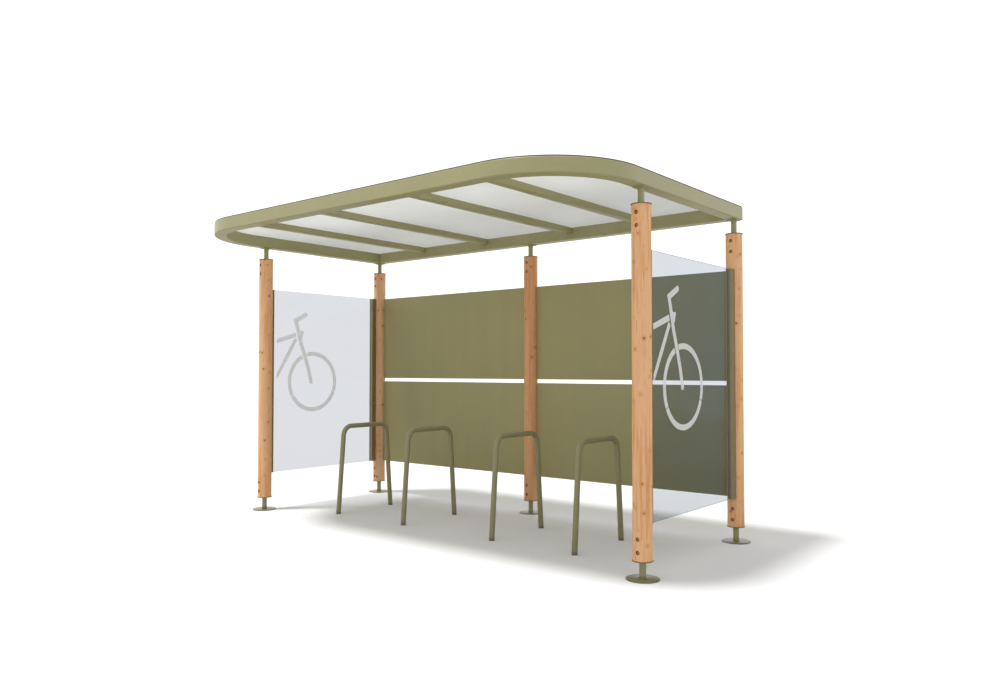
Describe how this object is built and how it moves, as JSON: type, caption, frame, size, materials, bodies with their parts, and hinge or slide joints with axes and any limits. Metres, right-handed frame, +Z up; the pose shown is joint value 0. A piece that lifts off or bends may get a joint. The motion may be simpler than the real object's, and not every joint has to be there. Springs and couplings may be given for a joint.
{
  "type": "bike shelter",
  "caption": "Open-front bike shelter: round timber posts on steel feet, flat roof with rounded front corners, panelled back wall, glass ends and hoop racks.",
  "frame": {"origin": "on the ground, under the middle of the shelter's box", "axes": "+X to the right along the back wall, +Y from the open front to the back wall, +Z up"},
  "size_m": [4.21, 2.346, 2.559],
  "materials": {
    "olive_steel": "satin powder coat, olive",
    "olive_aluminium": "satin powder coat, olive",
    "timber": "turned softwood with small knots, oiled",
    "wall_laminate": "compact laminate, satin olive",
    "opal_sheet": "opal sheet, satin",
    "clear_glass": "toughened glass with a slight grey tint"
  },
  "bodies": {
    "root": {"back_beam": "olive_steel", "foot_back_left": "olive_steel", "foot_back_middle": "olive_steel", "foot_back_right": "olive_steel", "foot_front_left": "olive_steel", "foot_front_right": "olive_steel", "front_beam": "olive_steel", "head_back_left": "olive_steel", "head_back_middle": "olive_steel", "head_back_right": "olive_steel", "head_front_left": "olive_steel", "head_front_right": "olive_steel", "hoop_rack_1": "olive_steel", "hoop_rack_2": "olive_steel", "hoop_rack_3": "olive_steel", "hoop_rack_4": "olive_steel", "left_back_glass_channel": "olive_aluminium", "left_corner_beam": "olive_steel", "left_front_glass_channel": "olive_aluminium", "left_glass_pane": "clear_glass", "left_side_beam": "olive_steel", "left_wall_left_upright": "olive_steel", "left_wall_right_upright": "olive_steel", "lower_left_wall_panel": "wall_laminate", "lower_right_wall_panel": "wall_laminate", "rafter_1": "olive_steel", "rafter_2": "olive_steel", "rafter_3": "olive_steel", "rafter_4": "olive_steel", "right_back_glass_channel": "olive_aluminium", "right_corner_beam": "olive_steel", "right_front_glass_channel": "olive_aluminium", "right_glass_pane": "clear_glass", "right_side_beam": "olive_steel", "right_wall_left_upright": "olive_steel", "right_wall_right_upright": "olive_steel", "roof_sheet": "opal_sheet", "timber_post_back_left": "timber", "timber_post_back_middle": "timber", "timber_post_back_right": "timber", "timber_post_front_left": "timber", "timber_post_front_right": "timber", "upper_left_wall_panel": "wall_laminate", "upper_right_wall_panel": "wall_laminate"}
  },
  "joints": []
}
